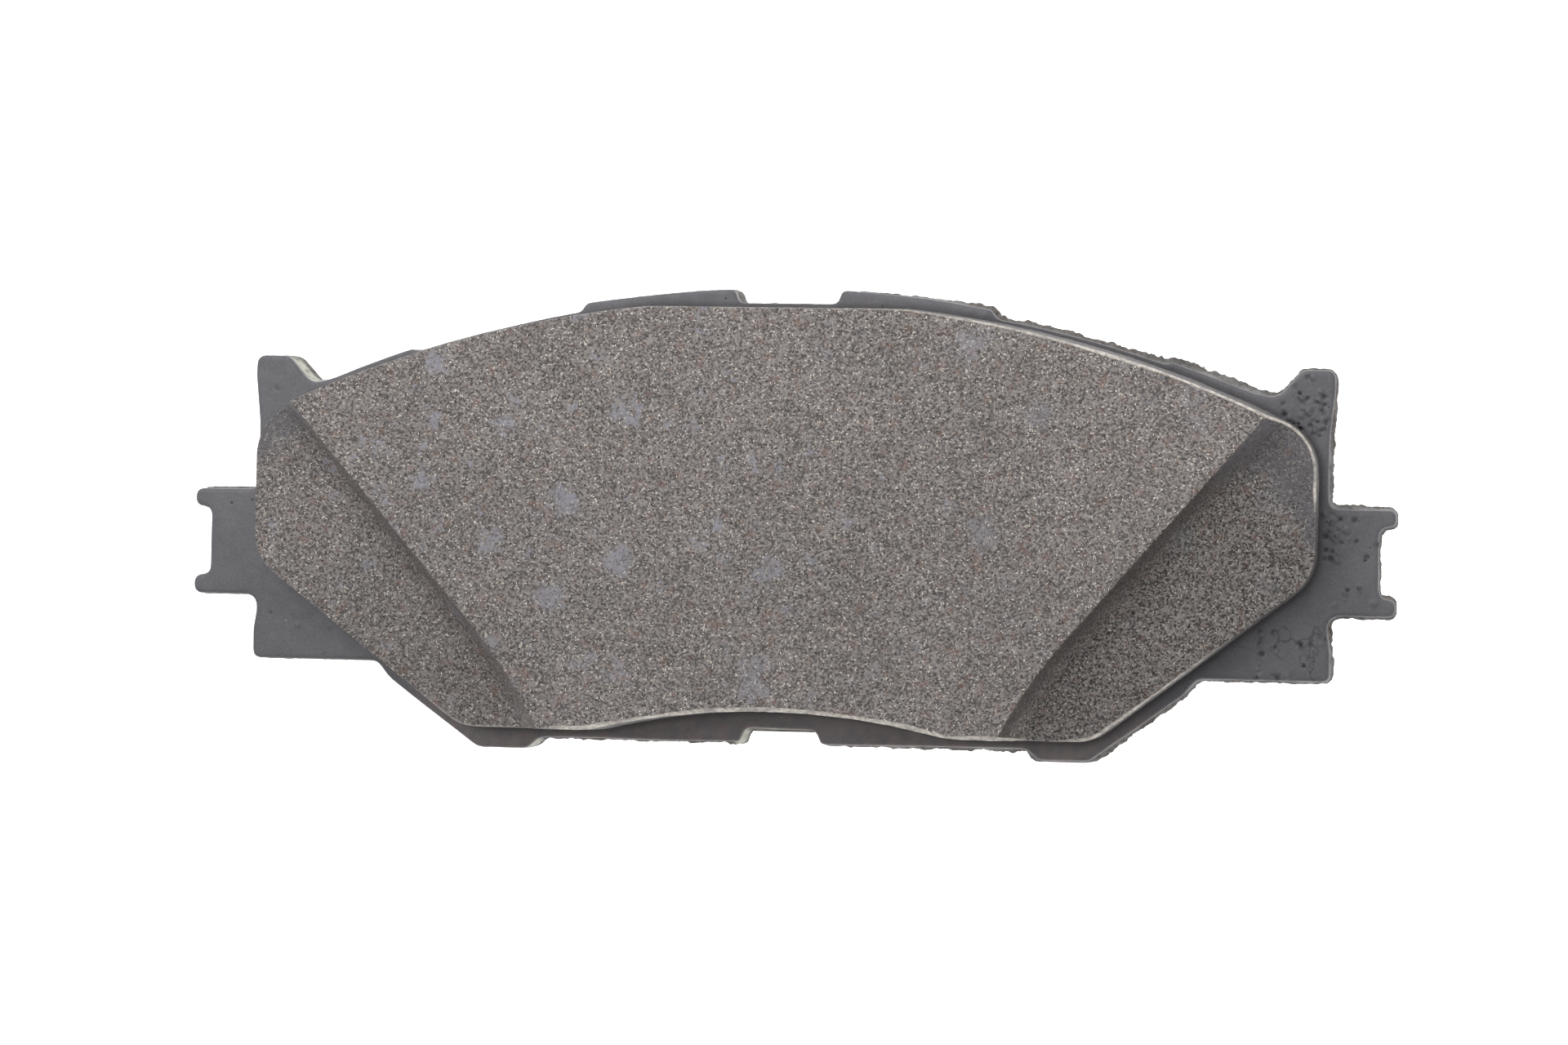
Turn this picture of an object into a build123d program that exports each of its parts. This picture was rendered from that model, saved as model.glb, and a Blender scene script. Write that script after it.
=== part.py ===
from build123d import *

import os
from math import sqrt

# A disc brake pad with stepped ends and a bonded noise shim.
#
# The pad lies flat on its back. X runs along its length, +Y points outward from the wheel's axis, and
# +Z is the friction side. The origin is under the middle of the pad, on the plane it rests on. The pad
# is the same on both sides of X = 0, so outlines are drawn for +X and mirrored.

# Driving dimensions, in millimetres and degrees
HALF_LENGTH = 75.0
HALF_WIDTH = 28.75

# Layers, from the back of the pad to its friction face
SHIM_RUBBER = 0.10
SHIM_STEEL = 0.50
SHIM_ADHESIVE = 0.10
PLATE = 5.50
BOND = 0.15
UNDERLAYER = 2.00
LINING = 11.00  # the friction face above the plate, bond and underlayer included

# Backing plate: the outer edge is three arcs about one centre
PLATE_ARC_CENTRE = -124.0
EDGE_RADIUS = 151.9
SHOULDER_RADIUS = 152.4
LAND_END = 25.4
EDGE_START = 26.0
EDGE_END = 46.8
SHOULDER_START = 47.1
SHOULDER_END = 57.6
TOP_NOTCH = (6.1, 27.05)  # half the width of its floor, and the floor's height
TOP_NOTCH_MOUTH = 6.6
BOTTOM_NOTCH = (4.3, -25.6)
BOTTOM_NOTCH_MOUTH = 4.9

# Ears, guide tabs and the feet below them
END_X = 66.9
EAR_TOP = 19.8
EAR_TOP_OUTER = 67.3
EAR_TOP_INNER = 63.1
EAR_SIDE = (67.4, 17.2)  # the ear's outer side leans in from here
EAR_SIDE_FOOT = 11.5
VALLEY = (60.2, 16.4)
TAB_TOP = 3.1
TAB_BOTTOM = -10.3
TAB_PRONG = 2.5
TAB_RECESS = 2.1
FOOT_X = 67.3
FOOT_STEP_TOP = -12.2
FOOT_STEP_BOTTOM = -14.5
FOOT_BOTTOM = -18.3
FOOT_INNER = 51.2
LOBE_SLANT_TOP = (49.6, -20.3)
LOBE_OUTER = 38.2
LOBE_INNER = 31.8
BOTTOM_EDGE = -27.4
BOTTOM_EDGE_OUTER = 30.3

# Friction block, measured where its walls meet the plate
DRAFT = 3.5
BLOCK_ARC_CENTRE = -116.0
BLOCK_ARC_RADIUS = 143.3
BLOCK_TOP = 26.45
BLOCK_END = 65.4
BLOCK_SLANT_TOP = -5.6
BLOCK_SLANT_FOOT = 38.8
BLOCK_BOTTOM = -26.0
BLOCK_WAVE_END = 21.8
BLOCK_WAVE_TOP = -23.25

# Stepped ends: the ridge is the edge of the friction face, the foot is where the step lands
END_ZONE = 5.80  # height of the lower end zones above the plate
RIDGE_TOP = (60.4, 15.2)
RIDGE_BEND = (36.1, -12.9)
RIDGE_BOTTOM = (26.9, -27.3)
STEP_RUN_TOP = 2.3
STEP_RUN_BOTTOM = 3.0
CLEAR = 90.0  # a distance from the origin that is well outside the pad

# Round holes in the plate, which the underlayer fills to key itself to the steel
KEY_HOLE_RADIUS = 6.0
KEY_HOLES = ((-44.0, -1.0), (-15.0, 1.5), (15.0, 1.5), (44.0, -1.0))

# Noise shim outline
SHIM_ARC_RADIUS = 150.4
SHIM_END = 62.5
SHIM_SLANT_TOP = -8.6
SHIM_SLANT_FOOT = 39.6
SHIM_BOTTOM = -26.2
SHIM_CORNER = 3.0

# Levels above the resting plane
STEEL_Z = SHIM_RUBBER
INNER_RUBBER_Z = STEEL_Z + SHIM_STEEL
ADHESIVE_Z = INNER_RUBBER_Z + SHIM_RUBBER
PLATE_Z = ADHESIVE_Z + SHIM_ADHESIVE
FRONT_Z = PLATE_Z + PLATE

UP = (0, 0, 1)


def on_arc(radius, centre_y, x):
    """The point at x on the upper half of a circle about (0, centre_y)."""
    return (x, centre_y + sqrt(radius**2 - x**2))


def arc_between(radius, centre_y, x_start, x_end):
    """An edge along the upper half of a circle about (0, centre_y)."""
    middle = (x_start + x_end) / 2
    return ThreePointArc(*(on_arc(radius, centre_y, x) for x in (x_start, middle, x_end)))


def symmetric_face(half_edges):
    """A face bounded by a chain of edges, from the top to the bottom of X = 0, and its mirror image."""
    other_half = [edge.mirror(Plane.YZ) for edge in half_edges]
    return make_face(Wire([*other_half, *half_edges]))


def rounded(face, corners):
    """The face with each listed corner, and the one across X = 0, rounded to its radius."""
    for corner_x, corner_y, radius in corners:
        for side in (1, -1):
            corner = face.vertices().sort_by_distance((side * corner_x, corner_y, 0))[0]
            face = fillet(corner, radius)
    return face


def slab(face, z, thickness):
    """A flat plate of the face's outline, lying at height z."""
    return Pos(0, 0, z) * extrude(face, thickness, dir=UP)


def plate_outline():
    """The backing plate: lands, shoulders, ears, guide tabs, feet and the two lower lobes."""
    land_radius = sqrt(TOP_NOTCH_MOUTH**2 + (HALF_WIDTH - PLATE_ARC_CENTRE) ** 2)
    land_start = on_arc(land_radius, PLATE_ARC_CENTRE, TOP_NOTCH_MOUTH)
    land_end = on_arc(land_radius, PLATE_ARC_CENTRE, LAND_END)
    edge_start = on_arc(EDGE_RADIUS, PLATE_ARC_CENTRE, EDGE_START)
    edge_end = on_arc(EDGE_RADIUS, PLATE_ARC_CENTRE, EDGE_END)
    shoulder_start = on_arc(SHOULDER_RADIUS, PLATE_ARC_CENTRE, SHOULDER_START)
    shoulder_end = on_arc(SHOULDER_RADIUS, PLATE_ARC_CENTRE, SHOULDER_END)
    recess_x = HALF_LENGTH - TAB_RECESS
    ear = [shoulder_end, VALLEY, (EAR_TOP_INNER, EAR_TOP), (EAR_TOP_OUTER, EAR_TOP)]
    end_face = [EAR_SIDE, (END_X, EAR_SIDE_FOOT), (END_X, TAB_TOP)]
    tab = [
        (HALF_LENGTH, TAB_TOP),
        (HALF_LENGTH, TAB_TOP - TAB_PRONG),
        (recess_x, TAB_TOP - TAB_PRONG),
        (recess_x, TAB_BOTTOM + TAB_PRONG),
        (HALF_LENGTH, TAB_BOTTOM + TAB_PRONG),
        (HALF_LENGTH, TAB_BOTTOM),
        (END_X, TAB_BOTTOM),
    ]
    foot = [
        (END_X, FOOT_STEP_TOP),
        (FOOT_X, FOOT_STEP_BOTTOM),
        (FOOT_X, FOOT_BOTTOM),
        (FOOT_INNER, FOOT_BOTTOM),
    ]
    lobe = [LOBE_SLANT_TOP, (LOBE_OUTER, -HALF_WIDTH), (LOBE_INNER, -HALF_WIDTH)]
    bottom = [
        (BOTTOM_EDGE_OUTER, BOTTOM_EDGE),
        (BOTTOM_NOTCH_MOUTH, BOTTOM_EDGE),
        BOTTOM_NOTCH,
        (0, BOTTOM_NOTCH[1]),
    ]
    face = symmetric_face([
        *Polyline((0, TOP_NOTCH[1]), TOP_NOTCH, land_start).edges(),
        arc_between(land_radius, PLATE_ARC_CENTRE, TOP_NOTCH_MOUTH, LAND_END),
        Line(land_end, edge_start),
        arc_between(EDGE_RADIUS, PLATE_ARC_CENTRE, EDGE_START, EDGE_END),
        Line(edge_end, shoulder_start),
        arc_between(SHOULDER_RADIUS, PLATE_ARC_CENTRE, SHOULDER_START, SHOULDER_END),
        *Polyline(*ear, *end_face, *tab, *foot, *lobe, *bottom).edges(),
    ])
    return rounded(face, [
        (*TOP_NOTCH, 0.5),
        (*land_start, 0.3),
        (*land_end, 0.4),
        (*shoulder_end, 2.0),
        (*VALLEY, 1.8),
        (EAR_TOP_INNER, EAR_TOP, 1.0),
        (EAR_TOP_OUTER, EAR_TOP, 1.0),
        (END_X, TAB_TOP, 0.8),
        (HALF_LENGTH, TAB_TOP, 0.9),
        (HALF_LENGTH, TAB_TOP - TAB_PRONG, 0.9),
        (recess_x, TAB_TOP - TAB_PRONG, 0.8),
        (recess_x, TAB_BOTTOM + TAB_PRONG, 0.8),
        (HALF_LENGTH, TAB_BOTTOM + TAB_PRONG, 0.9),
        (HALF_LENGTH, TAB_BOTTOM, 0.9),
        (END_X, TAB_BOTTOM, 1.2),
        (FOOT_X, FOOT_BOTTOM, 0.9),
        (FOOT_INNER, FOOT_BOTTOM, 0.8),
        (*LOBE_SLANT_TOP, 1.2),
        (LOBE_OUTER, -HALF_WIDTH, 1.6),
        (LOBE_INNER, -HALF_WIDTH, 0.8),
        (BOTTOM_EDGE_OUTER, BOTTOM_EDGE, 0.8),
        (BOTTOM_NOTCH_MOUTH, BOTTOM_EDGE, 0.4),
        (*BOTTOM_NOTCH, 0.5),
    ])


def block_outline():
    """The friction block where it meets the plate: a flat-topped arc, slanted corners and a wavy foot."""
    arc_start_x = sqrt(BLOCK_ARC_RADIUS**2 - (BLOCK_TOP - BLOCK_ARC_CENTRE) ** 2)
    arc_end = on_arc(BLOCK_ARC_RADIUS, BLOCK_ARC_CENTRE, BLOCK_END)
    wave_ends = [(side * BLOCK_WAVE_END, BLOCK_BOTTOM) for side in (-1, 1)]
    wave = ThreePointArc(wave_ends[0], (0, BLOCK_WAVE_TOP), wave_ends[1])
    corner = Polyline(
        arc_end,
        (BLOCK_END, BLOCK_SLANT_TOP),
        (BLOCK_SLANT_FOOT, BLOCK_BOTTOM),
        wave_ends[1],
    )
    face = symmetric_face([
        Line((0, BLOCK_TOP), (arc_start_x, BLOCK_TOP)),
        arc_between(BLOCK_ARC_RADIUS, BLOCK_ARC_CENTRE, arc_start_x, BLOCK_END),
        *corner.edges(),
        wave.trim(0.5, 1),
    ])
    return rounded(face, [
        (*arc_end, 7.0),
        (BLOCK_END, BLOCK_SLANT_TOP, 6.5),
        (BLOCK_SLANT_FOOT, BLOCK_BOTTOM, 5.5),
        (BLOCK_WAVE_END, BLOCK_BOTTOM, 14.0),
    ])


def shim_outline():
    """The noise shim: an arched strip over the middle of the plate, clear of its ears and tabs."""
    arc_end = on_arc(SHIM_ARC_RADIUS, PLATE_ARC_CENTRE, SHIM_END)
    side = Polyline(
        arc_end,
        (SHIM_END, SHIM_SLANT_TOP),
        (SHIM_SLANT_FOOT, SHIM_BOTTOM),
        (0, SHIM_BOTTOM),
    )
    face = symmetric_face([
        arc_between(SHIM_ARC_RADIUS, PLATE_ARC_CENTRE, 0, SHIM_END),
        *side.edges(),
    ])
    return rounded(face, [
        (*arc_end, SHIM_CORNER),
        (SHIM_END, SHIM_SLANT_TOP, SHIM_CORNER),
        (SHIM_SLANT_FOOT, SHIM_BOTTOM, SHIM_CORNER),
    ])


def key_hole_discs():
    """The round key holes, as one sketch."""
    return Sketch() + [Pos(x, y) * Circle(KEY_HOLE_RADIUS) for x, y in KEY_HOLES]


def end_region(side, run_top, run_bottom):
    """The area outside one ridge, moved outward by the two runs at the ridge's top and bottom ends."""
    top = (RIDGE_TOP[0] + run_top, RIDGE_TOP[1])
    bend = (RIDGE_BEND[0] + (run_top + run_bottom) / 2, RIDGE_BEND[1])
    bottom = (RIDGE_BOTTOM[0] + run_bottom, RIDGE_BOTTOM[1])
    straight = Line(top, bend)
    curve = TangentArc(bend, bottom, tangent=straight % 1)
    outside = Polyline(bottom, (CLEAR, bottom[1]), (CLEAR, top[1]), top)
    region = make_face([straight, curve, *outside.edges()])
    return region if side > 0 else mirror(region, about=Plane.YZ)


def end_cutter(side):
    """What is taken off one end of the friction block, from the end zone up, with a sloping inner wall."""
    low = Pos(0, 0, FRONT_Z + END_ZONE) * end_region(side, STEP_RUN_TOP, STEP_RUN_BOTTOM)
    high = Pos(0, 0, FRONT_Z + LINING) * end_region(side, 0, 0)
    return loft([low, high], ruled=True)


def layer(solid, z, thickness):
    """The part of the solid between height z and z + thickness."""
    window = Box(2 * CLEAR, 2 * CLEAR, thickness, align=(Align.CENTER, Align.CENTER, Align.MIN))
    return solid & Pos(0, 0, z) * window


def build():
    """Every piece of the pad by name, in its place."""
    holes = key_hole_discs()
    block_face = block_outline()
    shim_face = shim_outline()
    moulding = Pos(0, 0, FRONT_Z) * extrude(block_face, LINING, dir=UP, taper=DRAFT)
    underlayer_z = FRONT_Z + BOND
    friction_z = underlayer_z + UNDERLAYER
    keys = slab(holes, PLATE_Z, PLATE + BOND)
    friction_block = layer(moulding, friction_z, LINING - BOND - UNDERLAYER)
    return {
        "shim_outer_rubber": slab(shim_face, 0, SHIM_RUBBER),
        "shim_steel_core": slab(shim_face, STEEL_Z, SHIM_STEEL),
        "shim_inner_rubber": slab(shim_face, INNER_RUBBER_Z, SHIM_RUBBER),
        "shim_adhesive": slab(shim_face, ADHESIVE_Z, SHIM_ADHESIVE),
        "backing_plate": slab(plate_outline() - holes, PLATE_Z, PLATE),
        "bond_layer": layer(moulding, FRONT_Z, BOND) - keys,
        "underlayer": layer(moulding, underlayer_z, UNDERLAYER) + keys,
        "friction_block": friction_block - end_cutter(1) - end_cutter(-1),
    }


os.makedirs("parts", exist_ok=True)
for name, piece in build().items():
    export_step(piece, f"parts/{name}.step")
    size = piece.bounding_box().size
    extents = f"{size.X:.2f} x {size.Y:.2f} x {size.Z:.2f}"
    print(f"{name}: {piece.volume:.1f} mm3, {extents}, {len(piece.solids())} solid")
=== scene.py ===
"""The looks of a disc brake pad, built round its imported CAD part.

The pad lies on its back on a bright white table and is seen from above. Every piece takes its outline from
the CAD node that it replaces and adds what that plain solid leaves out: the rolled and torn edges of a
stamped plate, the pits and chips of a pressed and ground friction block, and the soft edges of the shim.
Shapes are worked out in millimetres, in the frame's own axes, and turned into metres at the end.
"""

import math
import random

import bpy
import numpy as np
from mathutils import Matrix, Vector, noise
from mathutils.bvhtree import BVHTree
from mathutils.geometry import delaunay_2d_cdt
from mathutils.kdtree import KDTree


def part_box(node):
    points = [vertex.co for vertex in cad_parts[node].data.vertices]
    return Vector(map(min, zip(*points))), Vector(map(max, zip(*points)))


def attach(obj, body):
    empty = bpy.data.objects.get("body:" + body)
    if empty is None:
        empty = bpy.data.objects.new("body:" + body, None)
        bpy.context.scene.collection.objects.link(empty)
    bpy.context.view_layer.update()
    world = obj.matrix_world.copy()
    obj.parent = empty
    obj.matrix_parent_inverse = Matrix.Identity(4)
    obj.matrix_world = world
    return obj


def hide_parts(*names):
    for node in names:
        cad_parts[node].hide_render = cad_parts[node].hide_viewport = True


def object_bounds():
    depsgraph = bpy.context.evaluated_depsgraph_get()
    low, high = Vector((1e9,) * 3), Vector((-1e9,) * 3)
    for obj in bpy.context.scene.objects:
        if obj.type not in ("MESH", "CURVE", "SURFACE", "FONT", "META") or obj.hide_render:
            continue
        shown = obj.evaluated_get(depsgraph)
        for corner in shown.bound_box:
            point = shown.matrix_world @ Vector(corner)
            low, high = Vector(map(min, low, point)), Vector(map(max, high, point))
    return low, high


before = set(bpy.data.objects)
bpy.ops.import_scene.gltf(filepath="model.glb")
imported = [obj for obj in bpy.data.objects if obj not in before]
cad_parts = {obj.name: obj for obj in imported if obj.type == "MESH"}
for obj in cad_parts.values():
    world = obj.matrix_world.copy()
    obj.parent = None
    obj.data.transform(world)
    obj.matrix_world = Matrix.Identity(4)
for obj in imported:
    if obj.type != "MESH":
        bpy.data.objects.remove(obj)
cad_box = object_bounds()

MM = 0.001
SEED = 7
BODY = "root"
BOX_LOW, BOX_HIGH = (np.array(corner) / MM for corner in cad_box)

# Heights in millimetres, from the frame
PLATE_BACK, PLATE_FRONT = (corner[2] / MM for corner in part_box("backing_plate"))
BLOCK_BASE, FACE_Z = (corner[2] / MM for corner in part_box("friction_block"))
PLUG_FOOT, UNDERLAYER_TOP = (corner[2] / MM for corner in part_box("underlayer"))
UNDERLAYER_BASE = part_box("bond_layer")[1][2] / MM
THICKNESS = PLATE_FRONT - PLATE_BACK
DRAFT = math.tan(math.radians(3.5))

# Modelled surfaces, in millimetres
OUTLINE_STEP = 0.35
PLATE_STEP = 0.33
BLOB_STEP = 0.2
BLOB_SIDE = 57.0
FACE_STEP = 0.36
HIDDEN_STEP = 3.0
ROLL_RADIUS = 0.45
BEVEL_STEEPNESS = 1.4
ONLY_INSIDE = 1  # the kind of triangulation that leaves out what lies outside the rims


# Outlines from the CAD nodes


class Solid:
    """A CAD node's corners, welded and in millimetres, with its triangles and their normals."""

    def __init__(self, node):
        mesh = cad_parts[node].data
        mesh.calc_loop_triangles()
        raw = np.array([vertex.co for vertex in mesh.vertices]) / MM
        self.points, corner_of = np.unique(np.round(raw, 4), axis=0, return_inverse=True)
        corner_of = corner_of.reshape(-1)
        triangles = np.array([[corner_of[v] for v in triangle.vertices] for triangle in mesh.loop_triangles])
        a, b, c = (self.points[triangles[:, k]] for k in range(3))
        cross = np.cross(b - a, c - a)
        size = np.linalg.norm(cross, axis=1)
        real = size > 1e-9
        self.triangles = triangles[real]
        self.normals = cross[real] / size[real, None]
        self.centres = self.points[self.triangles].mean(axis=1)

    def sides(self, chosen):
        """The directed sides of the chosen triangles."""
        return {side for a, b, c in self.triangles[chosen] for side in ((a, b), (b, c), (c, a))}

    def rims(self, chosen):
        """The closed rims of the chosen triangles, as lists of corner numbers. The longest comes first."""
        sides = self.sides(chosen)
        following = {a: b for a, b in sides if (b, a) not in sides}
        loops = []
        while following:
            start = min(following)
            loop = [start]
            here = following.pop(start)
            while here != start:
                loop.append(here)
                here = following.pop(here)
            loops.append(loop)
        return sorted(loops, key=len, reverse=True)

    def creases(self, chosen, others):
        """The open lines along which two groups of triangles meet, as lists of corner numbers."""
        across = self.sides(others)
        following = {a: b for a, b in self.sides(chosen) if (b, a) in across}
        lines = []
        for start in sorted(set(following) - set(following.values())):
            line = [start]
            while line[-1] in following:
                line.append(following[line[-1]])
            lines.append(line)
        return lines

    def level_rims(self, z, up):
        """The rims of the flat face at height z that looks up (1) or down (-1), the outer one first.
        Seen from above, the material is always on their left."""
        chosen = (self.normals[:, 2] * up > 0.99) & (abs(self.centres[:, 2] - z) < 0.01)
        loops = [self.points[loop][::up] for loop in self.rims(chosen)]
        return sorted(loops, key=lambda loop: np.ptp(loop[:, 0]), reverse=True)


def even_line(line, step):
    """An open line's points at even steps, its facets softened and both ends kept."""
    along = np.concatenate([[0], np.cumsum(np.linalg.norm(np.diff(line, axis=0), axis=1))])
    at = np.linspace(0, along[-1], max(2, round(along[-1] / step) + 1))
    points = np.stack([np.interp(at, along, line[:, k]) for k in range(3)], axis=1)
    for _ in range(2):
        points[1:-1] = points[1:-1] / 2 + (points[:-2] + points[2:]) / 4
    return points


def even_loop(loop, step, kept=()):
    """A closed loop's points at even steps. The corners numbered in kept stay as they are."""
    if not kept:
        longest = int(np.argmax(np.linalg.norm(np.roll(loop, -1, 0) - loop, axis=1)))
        middle = (loop[longest] + loop[(longest + 1) % len(loop)]) / 2
        loop = np.vstack([[middle], np.roll(loop, -longest - 1, 0)])
        kept = [0]
    loop = np.roll(loop, -kept[0], 0)
    cuts = [k - kept[0] for k in kept] + [len(loop)]
    closed = np.vstack([loop, loop[:1]])
    return np.vstack([even_line(closed[a:b + 1], step)[:-1] for a, b in zip(cuts, cuts[1:])])


def outward(loop):
    """Unit directions in the plan that point to the right of the loop's run, out of the material."""
    along = (np.roll(loop, -1, 0) - np.roll(loop, 1, 0))[:, :2]
    across = np.stack([along[:, 1], -along[:, 0]], axis=1)
    return across / np.maximum(np.linalg.norm(across, axis=1), 1e-9)[:, None]


def moved_out(loop, distance):
    """The loop, moved outward in the plan by one distance, or by one for each point."""
    moved = loop.copy()
    moved[:, :2] += outward(loop) * np.reshape(distance, (-1, 1))
    return moved


def at_height(loop, z):
    """The loop at height z."""
    return np.column_stack([loop[:, :2], np.full(len(loop), z)])


def in_box(loop):
    """The loop, kept inside the CAD model's box."""
    return np.clip(loop, BOX_LOW, BOX_HIGH)


def point_tree(points):
    """A search tree of the points' places in the plan."""
    tree = KDTree(len(points))
    for k, point in enumerate(points):
        tree.insert((point[0], point[1], 0), k)
    tree.balance()
    return tree


def depth_finder(loops):
    """A function of x and y: how far inside the loops a place is, or how far outside, as a minus."""
    tree = point_tree(np.vstack(loops))
    directions = np.vstack([outward(loop) for loop in loops])

    def depth(x, y):
        near, k, distance = tree.find((x, y, 0))
        inside = (near.x - x) * directions[k][0] + (near.y - y) * directions[k][1]
        if distance < 2 * OUTLINE_STEP:
            return inside
        return math.copysign(distance, inside)

    return depth


def distance_finder(lines):
    """A function of x and y: the distance in the plan to the nearest point of the lines."""
    tree = point_tree(np.vstack(lines))
    return lambda x, y: tree.find((x, y, 0))[2]


# Small helpers for relief


def grain(x, y, z, size):
    """Smooth noise, mostly within 0.5 of zero, with features of that size."""
    return noise.noise(Vector((x / size, y / size, z / size)))


def patchwork(x, y, z, size):
    """A random value from 0 to 1 for each little cube of that size."""
    return (noise.cell(Vector((x / size, y / size, z / size))) + 1) / 2


def pit(x, y, size, share, depth):
    """A round pit's depth at a place: one in so many cells of that size has one, as share says."""
    distances, centres = noise.voronoi(Vector((x / size, y / size, 0)))
    centre = centres[0]
    if patchwork(centre.x, centre.y, 3, 0.01) > share:
        return 0.0
    away = min(1.0, distances[0] / 0.4)
    return depth * (1 - away * away) ** 2


def smoothstep(low, high, value):
    """0 below low, 1 above high, and a smooth rise between them."""
    t = min(1.0, max(0.0, (value - low) / (high - low)))
    return t * t * (3 - 2 * t)


# Meshes


def lattice(step, rng):
    """Points of a triangular lattice over the whole box, each nudged at random."""
    rise = step * math.sqrt(3) / 2
    nudge = 0.2 * step
    points = []
    for row in range(int((BOX_HIGH[1] - BOX_LOW[1]) / rise) + 1):
        for column in range(int((BOX_HIGH[0] - BOX_LOW[0]) / step) + 1):
            x = BOX_LOW[0] + (column + (row % 2) / 2) * step + rng.uniform(-nudge, nudge)
            y = BOX_LOW[1] + row * rise + rng.uniform(-nudge, nudge)
            points.append((x, y))
    return points


def inset_rows(loop, depth, distances):
    """Rows of points beside a loop, at set distances inside it, left out where they would fold."""
    rows = [(x, y, distance) for distance in distances for x, y in moved_out(loop, -distance)[:, :2]]
    return [(x, y) for x, y, distance in rows if depth(x, y) > 0.8 * distance]


def plan_triangles(rims, lines, inner):
    """Triangles over the area inside the first rim and outside the others, which are round holes.
    Their corners are numbered in the order rims, lines, inner."""
    corners = []
    edges = []
    hole_of = []
    for hole, rim in enumerate(rims):
        start = len(corners)
        corners += [Vector(point[:2]) for point in rim]
        edges += [(start + k, start + (k + 1) % len(rim)) for k in range(len(rim))]
        hole_of += [hole] * len(rim)
    for line in lines:
        start = len(corners)
        corners += [Vector(point[:2]) for point in line]
        edges += [(start + k, start + k + 1) for k in range(len(line) - 1)]
    corners += [Vector(point[:2]) for point in inner]
    hole_of += [0] * (len(corners) - len(hole_of))
    _, _, faces, sources, _, _ = delaunay_2d_cdt(corners, edges, [], ONLY_INSIDE, 1e-5)
    triangles = [[sources[corner][0] for corner in face] for face in faces]
    return [(a, b, c) for a, b, c in triangles if not hole_of[a] == hole_of[b] == hole_of[c] > 0]


class Shell:
    """A closed mesh, collected part by part in millimetres, with named marks for its corners."""

    def __init__(self):
        self.points = []
        self.faces = []
        self.marks = {}

    def add(self, points, **marks):
        """Adds corners, each with its marks, and returns their numbers."""
        start = len(self.points)
        self.points += [tuple(map(float, point)) for point in points]
        numbers = list(range(start, len(self.points)))
        for name, values in marks.items():
            values = np.broadcast_to(values, len(numbers))
            self.marks.setdefault(name, {}).update(zip(numbers, map(float, values)))
        return numbers

    def fill(self, numbers, triangles, up=True):
        """Adds the triangles, facing up or down."""
        for triangle in triangles:
            corners = [numbers[k] for k in triangle]
            self.faces.append(corners if up else corners[::-1])

    def wall(self, rings):
        """Joins rings of corners, from the top down, with quads that face out of the material."""
        for upper, lower in zip(rings, rings[1:]):
            for k in range(len(upper)):
                after = (k + 1) % len(upper)
                self.faces.append((upper[k], lower[k], lower[after], upper[after]))

    def piece(self, name, look, node, sharp_angle=50):
        """Makes the mesh object that stands for a CAD node."""
        used = sorted({corner for face in self.faces for corner in face})
        number = {corner: k for k, corner in enumerate(used)}
        places = [[value * MM for value in self.points[corner]] for corner in used]
        mesh = bpy.data.meshes.new(name)
        mesh.from_pydata(places, [], [[number[corner] for corner in face] for face in self.faces])
        for mark, values in self.marks.items():
            layer = mesh.attributes.new(mark, "FLOAT", "POINT")
            layer.data.foreach_set("value", [values.get(corner, 0.0) for corner in used])
        mesh.shade_smooth()
        mesh.set_sharp_from_angle(angle=math.radians(sharp_angle))
        mesh.materials.append(look)
        made = bpy.data.objects.new(name, mesh)
        bpy.context.collection.objects.link(made)
        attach(made, BODY)
        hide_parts(node)
        return made


# Backing plate: rolled front edge, smooth sheared band, then torn steel down to the back

# Where the sheared side carries a painted reflection of the bright table, as pale paint: x, y and reach
WORN_SIDES = ((-61.2, 17.6, 3.6), (-31.4, -28.0, 1.5), (-5.0, -26.6, 1.5))


def raggedness(x, y):
    """How rough the torn edge is at a place. It varies round the plate and is worst on the right."""
    rough = 0.3 + 0.5 * grain(x, y, 3, 12) + 0.6 * smoothstep(8, 45, x)
    rough += 0.7 * smoothstep(18, 28, x) * smoothstep(61, 56, x) * smoothstep(10, 16, y)
    rough += 0.45 * smoothstep(-24, -27, y) * smoothstep(-34, -26, x)
    return max(0.1, rough)


def torn_ring(outline, below):
    """The plate's sheared side, as one ring at a depth below its front."""
    moves = []
    for x, y, _ in outline:
        band = 1.6 + 0.9 * grain(x, y, 9, 7)
        torn = smoothstep(band, band + 0.5, below)
        streak = 0.03 * grain(x * 3, y * 3, below / 3, 1)
        flakes = patchwork(x, y, below / 2, 1.7) + 0.6 * patchwork(x, y, below + 5, 0.8)
        lumps = 0.5 + grain(x, y, below, 0.8)
        rough = raggedness(x, y) * (0.26 * flakes + 0.26 * lumps)
        moves.append(streak + torn * (0.03 + rough))
    worn_back = 0.12 * smoothstep(THICKNESS - 0.3, THICKNESS, below)
    ring = at_height(moved_out(outline, np.array(moves) - worn_back), PLATE_FRONT - below)
    return in_box(ring)


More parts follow.
